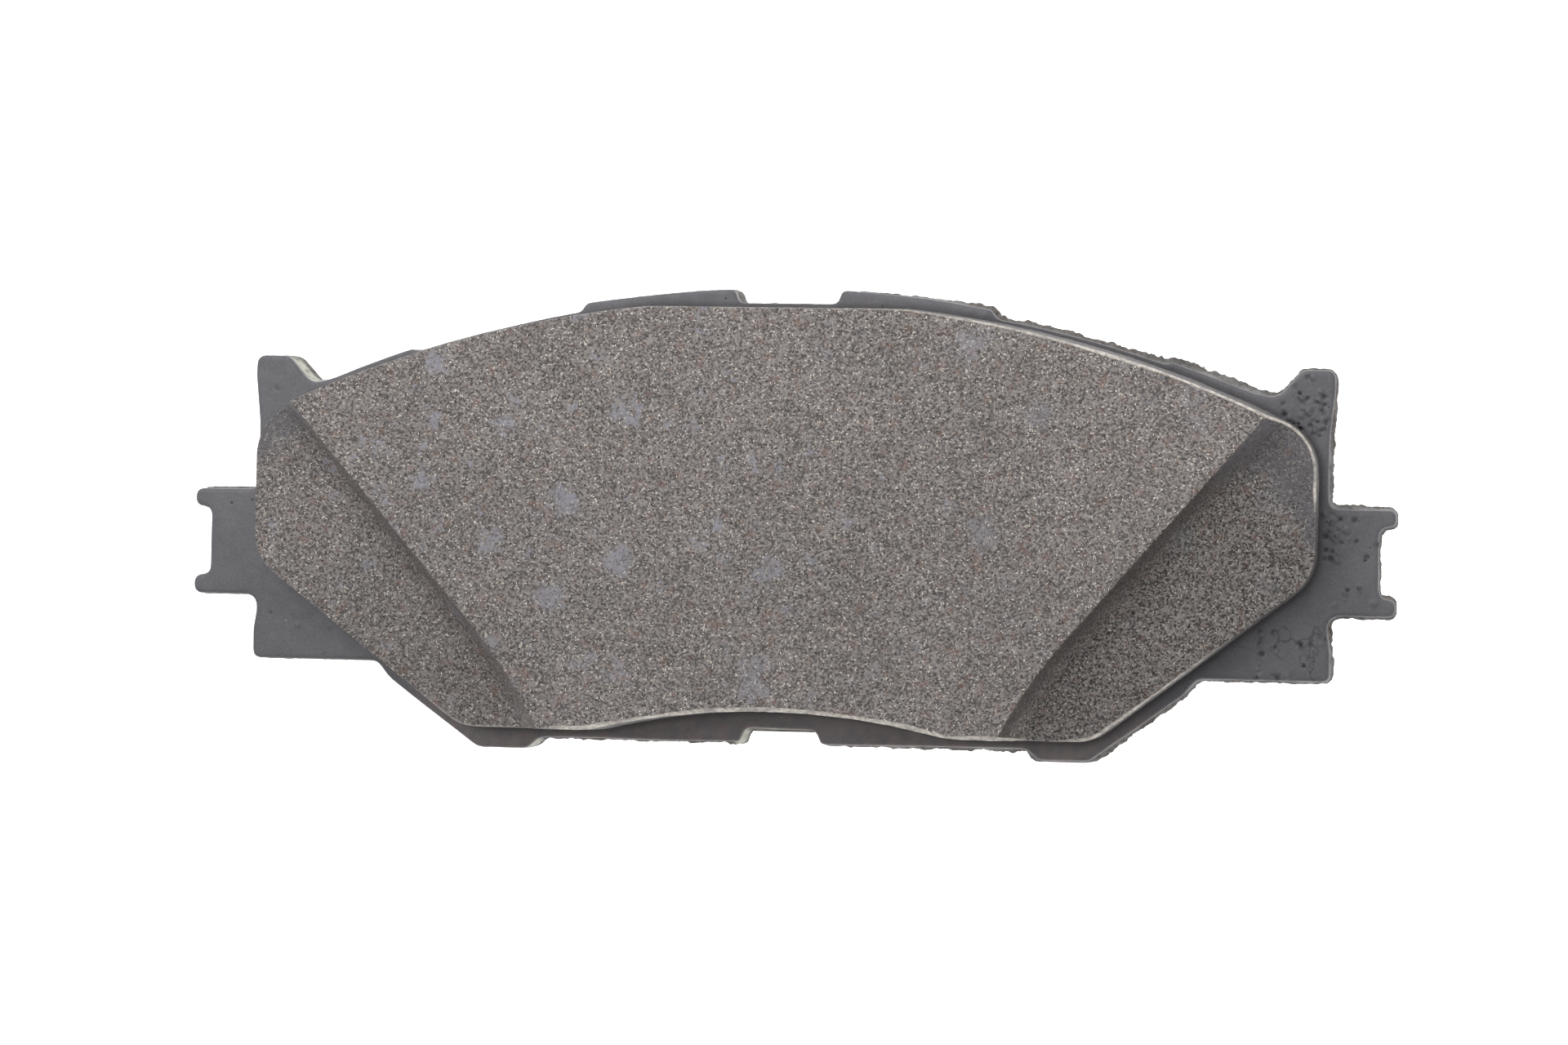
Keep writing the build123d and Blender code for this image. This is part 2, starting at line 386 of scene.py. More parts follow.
def coat_blobs(rng):
    """Drips and craters in the coating, as (x, y, radius, height), most of them on the right."""
    areas = [
        ((60.5, 66.3), (10.5, 17.0), 52),
        ((62.0, 66.5), (14.0, 19.0), 10),
        ((65.8, 68.2), (-4.0, 3.0), 22),
        ((67.0, 73.5), (-9.5, 2.6), 20),
        ((58.0, 66.8), (-17.8, -12.0), 26),
        ((-66.0, -52.0), (-17.8, -12.0), 4),
        ((-66.5, -60.0), (12.0, 19.0), 2),
        ((20.0, 56.0), (-28.0, 28.0), 12),
    ]
    blobs = []
    for across, up, count in areas:
        for _ in range(count):
            height = rng.choice([0.34, 0.26, 0.18, -0.24, -0.34])
            blobs.append((rng.uniform(*across), rng.uniform(*up), rng.uniform(0.22, 0.52), height))
    return blobs


def worn_bright(x, y):
    """How much painted reflection the plate's side carries at a place, from 0 to 1: pale paint that stands in
    for the bright table mirrored in the flank.
    """
    return max(
        smoothstep(reach, 0.4 * reach, math.hypot(x - at_x, y - at_y))
        for at_x, at_y, reach in WORN_SIDES
    )


def roll_drop(depth):
    """How far the rolled edge has dropped at a depth inside the outline."""
    left = min(ROLL_RADIUS, max(0.0, ROLL_RADIUS - depth))
    return ROLL_RADIUS - math.sqrt(ROLL_RADIUS**2 - left**2)


def plate_front_point(x, y, depth, blobs):
    """A place's height on the coated front, and how deep in a crater it is, from 0 to 1."""
    z = PLATE_FRONT - roll_drop(depth) + 0.015 * grain(x, y, 1, 1.1) + 0.02 * grain(x, y, 2, 9)
    crater = 0.0
    for blob_x, blob_y, radius, height in blobs:
        away = math.hypot(x - blob_x, y - blob_y) / radius
        if away < 1:
            share = (1 - away * away) ** 2
            z += height * share
            if height < 0:
                crater = max(crater, share)
    return z, crater


def plate_side_points(outline, depth, cover, rng):
    """Points for one flat side: close together where it shows, wide apart where a piece covers it."""
    points = inset_rows(outline, depth, (0.06, 0.15, 0.28, 0.45, 0.7))
    shown = [point for point in lattice(PLATE_STEP, rng) if point[0] < BLOB_SIDE]
    shown += [point for point in lattice(BLOB_STEP, rng) if point[0] > BLOB_SIDE + BLOB_STEP]
    points += [(x, y) for x, y in shown if depth(x, y) > 0.95 and cover(x, y) < 1.2]
    points += [(x, y) for x, y in lattice(HIDDEN_STEP, rng) if depth(x, y) > 1.5 and cover(x, y) > 2.0]
    return points


def backing_plate(look):
    """The stamped and powder-coated plate."""
    rng = random.Random(SEED)
    blobs = coat_blobs(rng)
    rims = Solid("backing_plate").level_rims(PLATE_FRONT, 1)
    outline = even_loop(rims[0], OUTLINE_STEP)
    outline = moved_out(outline, [-0.27 * raggedness(x, y) for x, y, _ in outline])
    holes = [even_loop(rim, 1.0) for rim in rims[1:]]
    depth = depth_finder([outline, *holes])
    under_block = depth_finder([even_loop(Solid("bond_layer").level_rims(PLATE_FRONT, -1)[0], OUTLINE_STEP)])
    under_shim = depth_finder([even_loop(Solid("shim_adhesive").level_rims(PLATE_BACK, 1)[0], OUTLINE_STEP)])
    front = plate_side_points(outline, depth, under_block, rng)
    back = plate_side_points(outline, depth, under_shim, rng)
    shell = Shell()
    depths = [ROLL_RADIUS, 0.8, 1.2, 1.6, *np.arange(2.0, THICKNESS - 0.3, 0.32), THICKNESS - 0.12]
    # painted reflection: pale paint on a few sheared flanks, in place of the bright table mirrored there
    worn = np.array([worn_bright(x, y) for x, y, _ in outline])
    rings = []
    for below in depths:
        side = smoothstep(0.6, 1.1, below)
        worn_here = worn * side * smoothstep(4.2, 2.4, below)
        torn = smoothstep(1.4, 2.2, below) * (1 - worn_here)
        rings.append(shell.add(torn_ring(outline, below), torn=torn, side=side, worn=worn_here))
    shell.wall(rings)
    hole_tops = [shell.add(at_height(hole, PLATE_FRONT)) for hole in holes]
    hole_feet = [shell.add(at_height(hole, PLATE_BACK)) for hole in holes]
    for top, foot in zip(hole_tops, hole_feet):
        shell.wall([top, foot])
    front_rows = [plate_front_point(x, y, depth(x, y), blobs) for x, y in front]
    front_points = [(x, y, z) for (x, y), (z, _) in zip(front, front_rows)]
    craters = [crater for _, crater in front_rows]
    # painted shadow: a dark line on the plate round the block's base
    seams = [smoothstep(-0.9, -0.15, under_block(x, y)) for x, y in front]
    back_points = [(x, y, PLATE_BACK + 0.1 * smoothstep(0.2, 0.0, depth(x, y))) for x, y in back]
    front_numbers = rings[0] + sum(hole_tops, []) + shell.add(front_points, crater=craters, seam=seams)
    back_numbers = rings[-1] + sum(hole_feet, []) + shell.add(back_points)
    shell.fill(front_numbers, plan_triangles([outline, *holes], [], front))
    shell.fill(back_numbers, plan_triangles([outline, *holes], [], back), up=False)
    return shell.piece("coated_backing_plate", look, "backing_plate")


# Friction block: ground face, stepped ends as they were pressed, and drafted walls


def wall_relief(x, y, z):
    """How far a pressed wall stands out at a place."""
    return 0.05 * grain(x, y, z, 0.9) + 0.04 * grain(x, y, z, 4) - 0.02


def rubbed(x, y):
    """Where the block's upper edge carries a painted highlight, from 0 to 1: along its top and bottom, and on
    the right.
    """
    if y > 0:
        top_and_corner = 0.2 + 0.8 * smoothstep(5, 32, x)
        return smoothstep(-64, -50, x) * top_and_corner * smoothstep(1, 5, y)
    slant = 0.75 * smoothstep(32, 38, x) * smoothstep(56, 50, x)
    wave = smoothstep(-29, -24, x) * smoothstep(34, 26, x)
    return max(slant, wave, 0.45 * smoothstep(-26, -40, x) * smoothstep(-46, -40, x))


def bevel_width(x, y):
    """The plan width of the bevel round the block's upper edge. It is widest along the bottom."""
    widest = 0.36 if y < -20 else 0.20
    return 0.05 + widest * rubbed(x, y) * (1 + 0.6 * grain(x, y, 7, 5))


def painted_end(x, y):
    """How much of the plate's coating lies on an end zone at a place, from 0 to 1: its upper corner."""
    if x < 0:
        border = 8.6 - 0.667 * (-x - 60.5)
    else:
        border = 7.5 - 0.09 * max(0.0, x - 54.7) ** 2
    return smoothstep(-2.2, 2.6, y - border + 3.0 * grain(x, y, 0, 2.4))


def slope_dirt(x, ridge):
    """How much painted shade lies at a distance from a ridge: a dark line on the right, a paler band on the
    left.
    """
    if x < 0:
        return 0.33 * (smoothstep(4.0, 3.0, ridge) + smoothstep(2.0, 0.4, ridge))
    return smoothstep(1.8, 0.4, ridge)


class BlockTop:
    """The block's upper side: its outer rim, its ridge and foot lines, and its relief."""

    def __init__(self):
        solid = Solid("friction_block")
        rise = solid.normals[:, 2]
        upper = rise > 0.15
        face = (rise > 0.99) & (solid.centres[:, 2] > FACE_Z - 0.1)
        slopes = upper & (rise < 0.99)
        ends = upper & ~face & ~slopes
        ridges = solid.creases(face, slopes)
        feet = solid.creases(slopes, ends)
        line_ends = {line[k] for line in ridges + feet for k in (0, -1)}
        rim = solid.rims(upper)[0]
        kept = [k for k, corner in enumerate(rim) if corner in line_ends]
        self.edge = even_loop(solid.points[rim], OUTLINE_STEP, kept)
        self.bevel = np.array([bevel_width(x, y) for x, y, _ in self.edge])
        self.rim = moved_out(self.edge, -self.bevel)
        self.depth = depth_finder([self.rim])
        self.ridges = [self.inner_line(solid.points[line]) for line in ridges]
        self.feet = [self.inner_line(solid.points[line]) for line in feet]
        self.from_ridge = distance_finder(self.ridges)
        self.from_foot = distance_finder(self.feet)
        polygons = [tuple(map(int, triangle)) for triangle in solid.triangles[upper]]
        self.tree = BVHTree.FromPolygons([Vector(point) for point in solid.points], polygons)

    def inner_line(self, corners):
        """A line across the block, at even steps, cut to end on the rim."""
        line = even_line(corners, OUTLINE_STEP)
        ends = [self.rim[np.argmin(np.linalg.norm(self.edge - line[k], axis=1))] for k in (0, -1)]
        inner = [point for point in line[1:-1] if self.depth(point[0], point[1]) > 0.15]
        return np.vstack([ends[:1], inner, ends[1:]])

    def height_and_marks(self, x, y, z):
        """The finished height over a plain height, whether the place is ground, how much painted shade it
        takes beside a ridge, and how much of the coating lies on it.
        """
        ground = 1.0 if z > FACE_Z - 0.02 else 0.0
        ridge = self.from_ridge(x, y)
        if ground:
            chips = max(0.0, grain(x, y, 5, 0.8) - 0.2) * smoothstep(0.7, 0.0, ridge)
            edge_chips = max(0.0, grain(x, y, 8, 0.9) - 0.25) * smoothstep(0.5, 0.0, self.depth(x, y))
            relief = 0.02 + 0.03 * grain(x, y, 1, 0.7) + 0.02 * grain(x, y, 2, 5)
            z -= max(0.0, relief) + pit(x, y, 1.5, 0.3, 0.1) + 0.5 * chips + 0.5 * edge_chips
            return z, ground, 0.0, 0.0
        foot = self.from_foot(x, y)
        # painted shade beside the ridges
        slope = slope_dirt(x, ridge)
        coarse = 0.55 + 0.45 * smoothstep(-20, 20, x)
        z += 0.5 * max(0.0, 1 - foot / 1.4) ** 2 + 0.05 * grain(x, y, 6, 3)
        z += coarse * (0.05 * grain(x, y, 4, 0.8) - pit(x, y, 1.7, 0.4, 0.14))
        return z, ground, slope, painted_end(x, y)


def crossing(block, x, y):
    """The CAD block's height where a plumb line through a place meets it, or None."""
    hit = block.tree.ray_cast(Vector((x, y, FACE_Z + 5)), Vector((0, 0, -1)))[0]
    return None if hit is None else hit.z


def chipped_line(line):
    """A ridge line with its inner points pushed about, as a crumbly edge is."""
    chipped = line.copy()
    along = np.gradient(line[:, :2], axis=0)
    across = np.stack([along[:, 1], -along[:, 0]], axis=1)
    across /= np.linalg.norm(across, axis=1)[:, None]
    pushes = [0.16 * grain(x, y, 2, 0.6) + 0.12 * grain(x, y, 5, 2) for x, y, _ in line[1:-1]]
    chipped[1:-1, :2] += across[1:-1] * np.reshape(pushes, (-1, 1))
    return chipped


def beside(line, distance):
    """The points beside a line on both sides, at a distance, clear of its ends."""
    along = np.gradient(line[:, :2], axis=0)
    across = np.stack([along[:, 1], -along[:, 0]], axis=1)
    across *= distance / np.linalg.norm(across, axis=1)[:, None]
    return [tuple(point) for side in (1, -1) for point in (line[:, :2] + side * across)[2:-2]]


def block_inner_points(block, ridges, rng):
    """Points for the block's upper side, in rows beside its edges and scattered between them."""
    rows = inset_rows(block.rim, block.depth, (0.1, 0.25, 0.45))
    for line in ridges:
        rows += [point for distance in (0.13, 0.32) for point in beside(line, distance)]
    for line in block.feet:
        rows += [point for distance in (0.2, 0.45) for point in beside(line, distance)]
    to_edges = distance_finder([*ridges, *block.feet])
    rows = [(x, y) for x, y in rows if block.depth(x, y) > 0.08]
    scattered = [
        (x, y) for x, y in lattice(FACE_STEP, rng)
        if block.depth(x, y) > 0.65 and to_edges(x, y) > 0.55
    ]
    return rows + scattered


def friction_block(look):
    """The pressed friction block, ground flat between its stepped ends."""
    rng = random.Random(SEED + 1)
    block = BlockTop()
    ridges = [chipped_line(line) for line in block.ridges]
    lines = [*ridges, *block.feet]
    inner = block_inner_points(block, ridges, rng)
    shell = Shell()
    places = [tuple(point[:2]) for line in lines for point in line] + inner
    rim_rows = np.array([block.height_and_marks(x, y, z) for x, y, z in block.rim])
    rows = np.array([block.height_and_marks(x, y, crossing(block, x, y) or FACE_Z) for x, y in places])
    rim_points = np.column_stack([block.rim[:, :2], np.minimum(rim_rows[:, 0], FACE_Z)])
    inner_points = np.column_stack([np.array(places), np.minimum(rows[:, 0], FACE_Z)])
    # painted highlight along the block's upper edge
    bright = np.array([rubbed(x, y) * (1 + 0.5 * grain(x, y, 4, 2.5)) for x, y, _ in block.edge])
    top = shell.add(rim_points, ground=rim_rows[:, 1], slope=rim_rows[:, 2], paint=rim_rows[:, 3], lip=bright)
    middle = shell.add(inner_points, ground=rows[:, 1], slope=rows[:, 2], paint=rows[:, 3])
    shell.fill(top + middle, plan_triangles([block.rim], lines, inner))
    rings = [top]
    out = outward(block.edge)
    bevel_foot = rim_points[:, 2] - BEVEL_STEEPNESS * block.bevel
    for part in np.linspace(0, 1, 18):
        z = bevel_foot + (BLOCK_BASE - bevel_foot) * part
        plan = block.edge[:, :2] + out * ((block.edge[:, 2] - z) * DRAFT)[:, None]
        relief = np.array([wall_relief(x, y, level) for (x, y), level in zip(plan, z)])
        ring = np.column_stack([plan + out * relief[:, None], z])
        rings.append(shell.add(ring, wall=1.0, paint=1.0, lip=bright * smoothstep(0.1, 0.0, part)))
    shell.wall(rings)
    last = np.array([shell.points[k] for k in rings[-1]])
    base_depth = depth_finder([last])
    base = [(x, y) for x, y in lattice(HIDDEN_STEP, rng) if base_depth(x, y) > 1.5]
    base_numbers = rings[-1] + shell.add([(x, y, BLOCK_BASE) for x, y in base])
    shell.fill(base_numbers, plan_triangles([last], [], base), up=False)
    return shell.piece("ground_friction_block", look, "friction_block")


# Layers under the block


def hidden_points(outline, clearance, rng):
    """Widely spaced points for a flat side that another piece covers."""
    depth = depth_finder(outline)
    return [(x, y) for x, y in lattice(HIDDEN_STEP, rng) if depth(x, y) > clearance]


def underlayer(look):
    """The insulating layer under the friction material, with the plugs that key it to the plate."""
    rng = random.Random(SEED + 2)
    solid = Solid("underlayer")
    outer, *plugs = solid.level_rims(UNDERLAYER_BASE, -1)
    foot = even_loop(outer, OUTLINE_STEP)
    plugs = [even_loop(plug, 1.0) for plug in plugs]
    out = outward(foot)
    shell = Shell()
    rings = []
    for part in np.linspace(1, 0, 7):
        z = UNDERLAYER_BASE + (UNDERLAYER_TOP - UNDERLAYER_BASE) * part
        plan = foot[:, :2] - out * DRAFT * (z - UNDERLAYER_BASE)
        relief = np.array([wall_relief(x, y, z) + 0.03 * grain(x, y, z, 0.5) for x, y in plan])
        rings.append(shell.add(at_height(plan + out * relief[:, None], z), wall=1.0))
    shell.wall(rings)
    top_outline = np.array([shell.points[k] for k in rings[0]])
    foot_outline = np.array([shell.points[k] for k in rings[-1]])
    top = hidden_points([top_outline], 1.5, rng)
    base = hidden_points([foot_outline, *plugs], 1.5, rng)
    top_numbers = rings[0] + shell.add([(x, y, UNDERLAYER_TOP) for x, y in top])
    shell.fill(top_numbers, plan_triangles([top_outline], [], top))
    plug_tops = [shell.add(at_height(plug, UNDERLAYER_BASE)) for plug in plugs]
    base_numbers = rings[-1] + sum(plug_tops, []) + shell.add([(x, y, UNDERLAYER_BASE) for x, y in base])
    shell.fill(base_numbers, plan_triangles([foot_outline, *plugs], [], base), up=False)
    for plug, plug_top in zip(plugs, plug_tops):
        plug_foot = shell.add(at_height(plug, PLUG_FOOT))
        shell.wall([plug_top[::-1], plug_foot[::-1]])
        shell.fill(plug_foot[::-1], plan_triangles([plug[::-1]], [], []), up=False)
    return shell.piece("keyed_underlayer", look, "underlayer")


def sheet(name, node, look, seed, inset, wave, soft_edge):
    """A thin layer with the outline and holes of its CAD node, set back a little at its edge."""
    rng = random.Random(seed)
    low, high = (corner[2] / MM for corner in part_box(node))
    outer, *holes = Solid(node).level_rims(high, 1)
    outline = even_loop(outer, OUTLINE_STEP)
    holes = [even_loop(hole, 1.0) for hole in holes]
    waves = [grain(x, y, seed, 1.6) + 0.4 * grain(x, y, seed, 0.6) for x, y, _ in outline]
    edge = wave * np.array(waves)
    shell = Shell()
    rings = []
    for part in (1.0, 0.8, 0.5, 0.2, 0.0):
        rounding = soft_edge * (2 * part - 1) ** 4
        ring = moved_out(outline, edge - inset - wave - rounding)
        rings.append(shell.add(at_height(ring, low + (high - low) * part)))
    shell.wall(rings)
    hole_rings = [[shell.add(at_height(hole, z)) for z in (high, low)] for hole in holes]
    for pair in hole_rings:
        shell.wall(pair)
    for ring, level, up in ((rings[0], 0, True), (rings[-1], 1, False)):
        rim = np.array([shell.points[k] for k in ring])
        flat_z = rim[0, 2]
        inner = hidden_points([rim, *holes], 1.0, rng)
        hole_rims = sum((pair[level] for pair in hole_rings), [])
        middle = shell.add([(x, y, flat_z) for x, y in inner])
        shell.fill(ring + hole_rims + middle, plan_triangles([rim, *holes], [], inner), up=up)
    return shell.piece(name, look, node)


# Materials


class Look:
    """A material, with short calls that add and join its nodes. Places are in millimetres."""

    def __init__(self, name):
        self.material = bpy.data.materials.new(name)
        self.material.use_nodes = True
        self.tree = self.material.node_tree
        self.shader = self.tree.nodes["Principled BSDF"]
        object_place = self.add("TexCoord").outputs["Object"]
        self.place = self.add("VectorMath", {0: object_place, "Scale": 1 / MM}, operation="SCALE").outputs[0]

    def add(self, kind, values=None, **settings):
        """Adds a node, with its settings and with values or sockets for its inputs."""
        node = self.tree.nodes.new("ShaderNode" + kind)
        for setting, value in settings.items():
            setattr(node, setting, value)
        for socket, value in (values or {}).items():
            self.set(node.inputs[socket], value)
        return node

    def set(self, socket, value):
        """Joins a socket to another node's output, or gives it a fixed value."""
        if isinstance(value, bpy.types.NodeSocket):
            self.tree.links.new(value, socket)
        else:
            socket.default_value = value

    def math(self, operation, a, b=0.0, clamp=False):
        """One sum."""
        return self.add("Math", {0: a, 1: b}, operation=operation, use_clamp=clamp).outputs[0]

    def stretched(self, sizes, turn=0.0):
        """The place, turned about the vertical and then divided by three feature sizes."""
        turned = self.add("VectorRotate", {"Vector": self.place, "Angle": turn}, rotation_type="Z_AXIS")
        scales = [1 / size for size in sizes]
        return self.add("VectorMath", {0: turned.outputs[0], 1: scales}, operation="MULTIPLY").outputs[0]

    def noise(self, size, detail=2.0, roughness=0.5, place=None):
        """Smooth noise from 0 to 1, with features of that size."""
        values = {"Vector": place or self.place, "Scale": 1 / size, "Detail": detail, "Roughness": roughness}
        return self.add("TexNoise", values).outputs["Fac"]

    def cells(self, size, place=None):
        """Voronoi cells of that size: the distance to a cell's centre, and the cell's random value."""
        node = self.add("TexVoronoi", {"Vector": place or self.place, "Scale": 1 / size})
        split = self.add("SeparateColor", {0: node.outputs["Color"]})
        return node.outputs["Distance"], split.outputs[0]

    def between(self, value, low, high, low_result=0.0, high_result=1.0):
        """Turns a range of values into another, smoothly and with both ends held."""
        values = {"Value": value, 1: low, 2: high, 3: low_result, 4: high_result}
        return self.add("MapRange", values, interpolation_type="SMOOTHSTEP").outputs[0]

    def spots(self, size, share, radius, place=None, edge=0.4):
        """1 on round spots in a share of the cells, 0 elsewhere. The radius is in cell sizes."""
        distance, chance = self.cells(size, place)
        chosen = self.math("LESS_THAN", chance, share)
        return self.math("MULTIPLY", self.between(distance, radius, radius * (1 - edge)), chosen)

    def mix(self, amount, a, b, blend="MIX"):
        """Two colours, mixed."""
        node = self.add("Mix", data_type="RGBA", blend_type=blend)
        for socket, value in zip((node.inputs[0], node.inputs[6], node.inputs[7]), (amount, a, b)):
            self.set(socket, value)
        return node.outputs[2]

    def mix_value(self, amount, a, b):
        """Two numbers, mixed."""
        node = self.add("Mix", {0: amount, 2: a, 3: b}, data_type="FLOAT")
        return node.outputs[0]

    def mark(self, name):
        """A mark that a mesh's corners carry."""
        return self.add("Attribute", attribute_name=name).outputs["Fac"]

    def bump(self, height, distance, strength=1.0, normal=None):
        """A surface normal that follows a height from 0 to 1, over a distance in millimetres."""
        values = {"Height": height, "Distance": distance * MM, "Strength": strength}
        if normal is not None:
            values["Normal"] = normal
        return self.add("Bump", values).outputs[0]

    def finish(self, colour, roughness, normal, specular=0.5, metallic=0.0):
        """Joins the results to the shader."""
        self.set(self.shader.inputs["Base Color"], colour)
        self.set(self.shader.inputs["Roughness"], roughness)
        self.set(self.shader.inputs["Normal"], normal)
        self.shader.inputs["Specular IOR Level"].default_value = specular
        self.shader.inputs["Metallic"].default_value = metallic
        return self.material


def shade(red, green, blue):
    """A colour written as it looks on a screen, from 0 to 255, as the linear colour that nodes take."""
    linear = [(value / 255 / 12.92) if value <= 10 else ((value / 255 + 0.055) / 1.055) ** 2.4
              for value in (red, green, blue)]
    return (*linear, 1.0)


SLATE = shade(99, 98, 104)
FLECK_TURNS = (0.4, 1.5, 2.6)


def coat_colour(look):
    """The slate coating's colour: soft clouds, speckle and a few pinholes, with painted shade that darkens it
    towards the feet and a little towards the right.
    """
    clouds = look.noise(9.0, detail=3.0)
    colour = look.mix(look.between(clouds, 0.35, 0.7), shade(86, 85, 90), shade(101, 99, 104))
    speckle = look.noise(0.22, detail=2.0, roughness=0.7)
    colour = look.mix(look.between(speckle, 0.3, 0.75), colour, look.mix(0.3, colour, shade(135, 133, 136)))
    colour = look.mix(look.spots(1.3, 0.10, 0.16), colour, shade(50, 48, 50))
    colour = look.mix(look.spots(1.7, 0.08, 0.12), colour, shade(150, 148, 148))
    place = look.add("SeparateXYZ", {0: look.place})
    # painted shade: darker towards the right and towards the bottom
    across = look.between(place.outputs[0], -10.0, 70.0, 0.0, 0.08)
    down = look.between(place.outputs[1], 12.0, -18.0, 0.0, 0.24)
    return look.mix(look.math("ADD", across, down), colour, shade(40, 40, 44))


def coat_height(look):
    """The coating's relief: orange peel, a fine grit and hairline scratches."""
    peel = look.noise(0.9, detail=1.0)
    grit = look.noise(0.25, detail=2.0)
    scratch = look.noise(1.0, detail=1.0, place=look.stretched((9.0, 0.12, 1.0), 0.9))
    height = look.math("ADD", look.math("MULTIPLY", peel, 0.55), look.math("MULTIPLY", grit, 0.3))
    return look.math("SUBTRACT", height, look.between(scratch, 0.72, 0.8, 0.0, 0.25))


def powder_coat():
    """Slate powder coating: pale where the press sheared the steel smooth, gritty and dark where it tore. It
    carries painted shade in its craters and round the block's base, painted light in a brown tint along the
    bottom margin, and a painted reflection on a few sheared flanks.
    """
    look = Look("slate powder coat")
    torn = look.mark("torn")
    side = look.mark("side")
    colour = coat_colour(look)
    # painted shade in the coating's craters
    colour = look.mix(look.math("MULTIPLY", look.mark("crater"), 0.8), colour, shade(38, 37, 39))
    place = look.add("SeparateXYZ", {0: look.place})
    # a brown tint along the bottom margin, lighter than the coat: partly the margin's own colour, partly
    # painted light against the block's shadow
    browned = look.between(look.noise(1.6, detail=4.0), 0.35, 0.6, 0.35, 1.0)
    browned = look.math("MULTIPLY", look.between(place.outputs[1], -20.0, -25.5, 0.0, 0.6), browned)
    colour = look.mix(browned, colour, shade(118, 106, 100))
    crack = look.math("ABSOLUTE", look.math("SUBTRACT", look.noise(4.5, detail=3.0), 0.5))
    on_right = look.between(place.outputs[0], 46.0, 54.0)
    right_foot = look.math("MULTIPLY", on_right, look.between(place.outputs[1], -8.0, -13.0))
    cracked = look.math("MULTIPLY", look.between(crack, 0.010, 0.004), right_foot)
    colour = look.mix(look.math("MULTIPLY", cracked, 0.65), colour, shade(48, 46, 48))
    # painted shadow round the block's base
    colour = look.mix(look.math("MULTIPLY", look.mark("seam"), 0.6), colour, shade(44, 41, 41))
    sheared = look.noise(1.0, detail=3.0, place=look.stretched((0.5, 0.5, 6.0)))
    sheared = look.mix(look.between(sheared, 0.3, 0.7), shade(92, 91, 90), shade(126, 124, 118))
    colour = look.mix(look.math("MULTIPLY", side, 0.75), colour, sheared)
    fracture = look.noise(1.0, detail=4.0, place=look.stretched((0.55, 0.55, 2.2)))
    ripped = look.mix(look.between(fracture, 0.35, 0.65), shade(66, 62, 60), shade(106, 100, 96))
    rusty = look.between(look.noise(2.4, detail=4.0), 0.5, 0.7, 0.0, 0.4)
    ripped = look.mix(rusty, ripped, shade(104, 84, 73))
    colour = look.mix(torn, colour, ripped)
    # painted reflection: a pale cream on a few sheared flanks, broken up by noise
    rubbed_through = look.between(look.noise(0.8, detail=4.0), 0.32, 0.62, 0.3, 0.9)
    colour = look.mix(look.math("MULTIPLY", look.mark("worn"), rubbed_through), colour, shade(188, 189, 172))
    normal = look.bump(coat_height(look), 0.05, 0.6)
    torn_bump = look.math("MULTIPLY", look.noise(0.45, detail=4.0, roughness=0.65), torn)
    normal = look.bump(torn_bump, 0.3, 0.9, normal)
    smooth = look.between(look.noise(1.4), 0.3, 0.7, 0.42, 0.54)
    roughness = look.math("ADD", smooth, look.math("MULTIPLY", torn, 0.25))
    return look.finish(colour, roughness, normal, specular=0.5)


def grains(look, ground):
    """The friction material's mixed grains, harsher where it isn't ground, as a colour and a height."""
    across = look.add("SeparateXYZ", {0: look.place}).outputs[0]
    calm = look.math("MAXIMUM", ground, look.between(across, 35.0, -35.0, 0.0, 1.0))
    _, chance = look.cells(0.20)
    fine = look.noise(0.09, detail=1.0)
    tone = look.math("ADD", look.math("MULTIPLY", chance, 0.65), look.math("MULTIPLY", fine, 0.5))
    level = look.between(tone, 0.1, 1.05)
    smooth = look.mix(level, shade(70, 65, 63), shade(160, 154, 151))
    harsh = look.mix(level, shade(44, 40, 39), shade(172, 166, 162))
    colour = look.mix(calm, harsh, smooth)
    pits = look.spots(0.5, 0.22, 0.3)
    pit_tone = look.between(calm, 0.0, 1.0, 0.85, 0.7)
    colour = look.mix(look.math("MULTIPLY", pits, pit_tone), colour, shade(46, 42, 41))
    flecks = None
    for turn in FLECK_TURNS:
        spots = look.spots(1.0, 0.16, 0.3, look.stretched((0.62, 0.22, 0.4), turn))
        flecks = spots if flecks is None else look.math("MAXIMUM", flecks, spots)
    colour = look.mix(look.math("MULTIPLY", flecks, 0.92), colour, shade(232, 225, 213))
    height = look.math("SUBTRACT", look.math("MULTIPLY", tone, 0.5), look.math("MULTIPLY", pits, 0.8))
    return colour, height


def tinted(look, colour):
    """The wider tints in friction material: rusty specks and soft bluish grey lumps, most on the left."""
    rust = look.between(look.noise(1.3, detail=3.0), 0.56, 0.74, 0.0, 0.45)
    colour = look.mix(rust, colour, shade(134, 105, 95))
    warp = look.add("TexNoise", {"Vector": look.place, "Scale": 0.9, "Detail": 3.0}).outputs["Color"]
    warp = look.add("VectorMath", {0: warp, "Scale": 5.0}, operation="SCALE").outputs[0]
    warped = look.add("VectorMath", {0: look.place, 1: warp}, operation="ADD").outputs[0]
    large = look.spots(8.2, 0.66, 0.27, warped, edge=0.4)
    small = look.spots(3.8, 0.5, 0.25, warped, edge=0.5)
    lumps = look.math("MAXIMUM", large, small)
    broken = look.between(look.noise(0.35, detail=3.0), 0.38, 0.55, 0.3, 1.0)
    place = look.add("SeparateXYZ", {0: look.place})
    fading = look.between(place.outputs[0], -5.0, 40.0, 0.82, 0.3)
    fading = look.math("MULTIPLY", fading, look.between(place.outputs[1], -22.0, 8.0, 0.6, 1.0))
    amount = look.math("MULTIPLY", look.math("MULTIPLY", lumps, broken), fading)
    return look.mix(amount, colour, shade(150, 149, 158))


